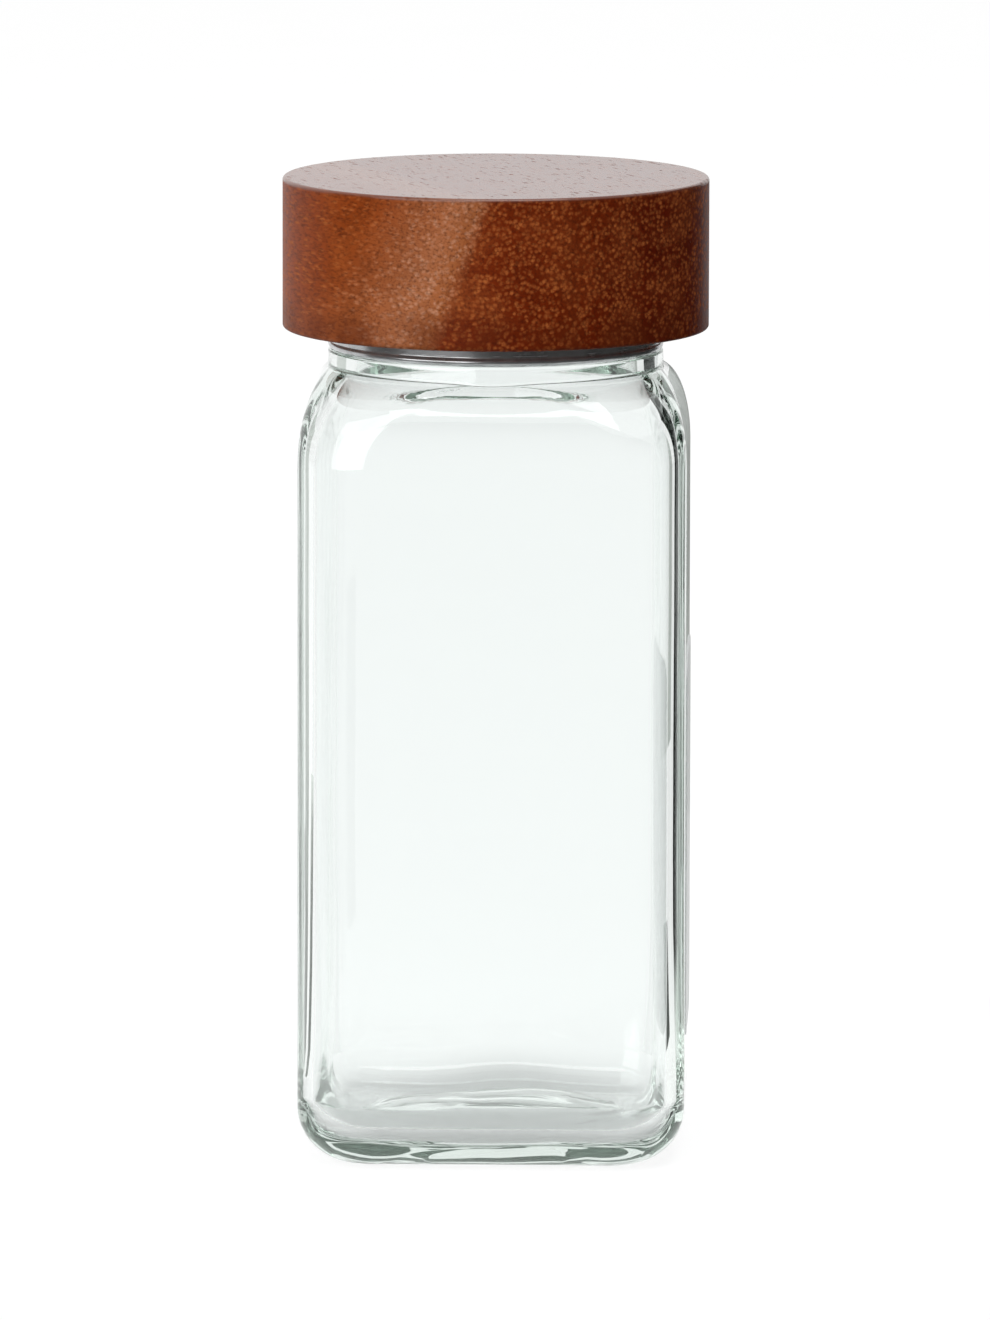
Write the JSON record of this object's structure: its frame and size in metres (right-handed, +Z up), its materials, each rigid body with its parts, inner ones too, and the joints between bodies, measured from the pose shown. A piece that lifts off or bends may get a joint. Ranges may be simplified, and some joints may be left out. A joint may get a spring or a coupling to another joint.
{
  "type": "spice jar",
  "caption": "Square clear-glass spice jar with rounded corners, a threaded round neck and a turned wooden screw lid lined with a metal shell.",
  "frame": {"origin": "centre of the jar's base on the surface that it stands on", "axes": "+Z up along the neck's axis; +X towards the flat side that carries the label; -Y is the front flat side"},
  "size_m": [0.05, 0.05, 0.1146],
  "materials": {
    "clear_glass": "clear soda-lime glass, faintly green at the edges, gloss",
    "label_film": "blank pale film, satin",
    "seal_foam": "pressed white foam, matt",
    "shell_metal": "bright tin-plated sheet",
    "lid_wood": "red-brown hardwood, turned and lightly oiled"
  },
  "bodies": {
    "jar": {"glass_jar": "clear_glass", "side_label": "label_film"},
    "seal": {"seal_disc": "seal_foam"},
    "lid": {"wood_lid": "lid_wood", "screw_shell": "shell_metal"}
  },
  "joints": [
    {"name": "lid_rise", "type": "slide", "parent": "jar", "child": "seal", "axis": [0, 0, 1], "range_m": [0, 0.0127]},
    {"name": "lid_turn", "type": "hinge", "parent": "seal", "child": "lid", "pos_m": [0, 0, 0.1], "axis": [0, 0, 1], "range_deg": [0, 1080]}
  ],
  "couplings": [
    {"joint": "lid_rise", "follows": "lid_turn", "m_per_rad": 0.00067322}
  ]
}
